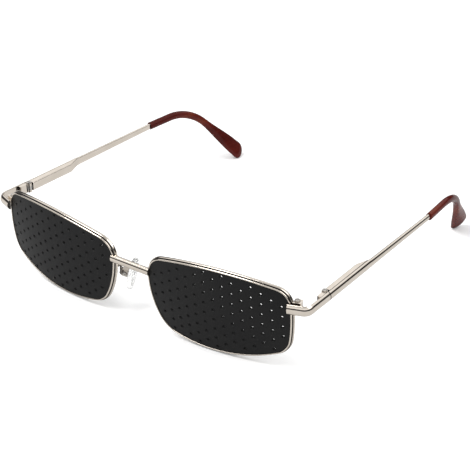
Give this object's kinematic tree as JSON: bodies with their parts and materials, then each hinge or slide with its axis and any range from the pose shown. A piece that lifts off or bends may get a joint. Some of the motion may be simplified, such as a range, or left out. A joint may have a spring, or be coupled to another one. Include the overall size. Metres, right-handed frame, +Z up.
{
  "type": "pinhole glasses",
  "caption": "Pinhole glasses: black perforated lenses in a thin champagne metal rim frame, sprung folding temples with brown tips, and clear nose pads.",
  "frame": {"origin": "middle of the bounding box, on the table the glasses stand on", "axes": "+X to the wearer's left, +Y from the lenses back to the ears, +Z up"},
  "size_m": [0.14, 0.1308, 0.0331],
  "materials": {
    "gold_metal": "polished champagne plating",
    "black_lens": "satin black",
    "brown_tip": "glossy dark brown",
    "clear_pad": "clear soft silicone",
    "screw_steel": "fine turned"
  },
  "bodies": {
    "front": {"bridge": "gold_metal", "left_rim": "gold_metal", "left_lens": "black_lens", "left_endpiece": "gold_metal", "left_upper_closing_block": "gold_metal", "left_lower_closing_block": "gold_metal", "left_rim_screw": "screw_steel", "left_hinge_leaf": "gold_metal", "left_hinge_screw": "screw_steel", "left_pad_arm": "gold_metal", "left_pad_box": "gold_metal", "left_pad_screw": "screw_steel", "right_rim": "gold_metal", "right_lens": "black_lens", "right_endpiece": "gold_metal", "right_upper_closing_block": "gold_metal", "right_lower_closing_block": "gold_metal", "right_rim_screw": "screw_steel", "right_hinge_leaf": "gold_metal", "right_hinge_screw": "screw_steel", "right_pad_arm": "gold_metal", "right_pad_box": "gold_metal", "right_pad_screw": "screw_steel"},
    "left_slider": {"left_hinge_slider": "screw_steel", "left_slider_nut": "screw_steel", "left_hinge_spring": "screw_steel"},
    "left_arm": {"left_temple": "gold_metal", "left_spring_housing": "gold_metal", "left_stop_block": "screw_steel", "left_temple_tip": "brown_tip"},
    "left_pad": {"left_nose_pad": "clear_pad"},
    "right_slider": {"right_hinge_slider": "screw_steel", "right_slider_nut": "screw_steel", "right_hinge_spring": "screw_steel"},
    "right_arm": {"right_temple": "gold_metal", "right_spring_housing": "gold_metal", "right_stop_block": "screw_steel", "right_temple_tip": "brown_tip"},
    "right_pad": {"right_nose_pad": "clear_pad"}
  },
  "joints": [
    {"name": "left_fold", "type": "hinge", "parent": "front", "child": "left_slider", "pos_m": [0.067, -0.04404, 0.02439], "axis": [0, -0.0124, 0.9999], "range_deg": [-8, 86]},
    {"name": "left_spring_slide", "type": "slide", "parent": "left_slider", "child": "left_arm", "axis": [-0.0593, 0.9982, 0.0124], "range_m": [0, 0.0015], "stiffness_N_per_m": 1000, "springref_m": -0.002, "deforming": ["left_hinge_spring"]},
    {"name": "right_fold", "type": "hinge", "parent": "front", "child": "right_slider", "pos_m": [-0.067, -0.04404, 0.02439], "axis": [0, 0.0124, -0.9999], "range_deg": [-8, 78]},
    {"name": "right_spring_slide", "type": "slide", "parent": "right_slider", "child": "right_arm", "axis": [0.0593, 0.9982, 0.0124], "range_m": [0, 0.0015], "stiffness_N_per_m": 1000, "springref_m": -0.002, "deforming": ["right_hinge_spring"]},
    {"name": "left_pad_rock", "type": "hinge", "parent": "front", "child": "left_pad", "pos_m": [0.00873, -0.05732, 0.01421], "axis": [0.4082, 0.9063, 0.1094], "range_deg": [-6, 6]},
    {"name": "right_pad_rock", "type": "hinge", "parent": "front", "child": "right_pad", "pos_m": [-0.00873, -0.05732, 0.01421], "axis": [-0.4082, 0.9063, 0.1094], "range_deg": [-6, 6]}
  ]
}
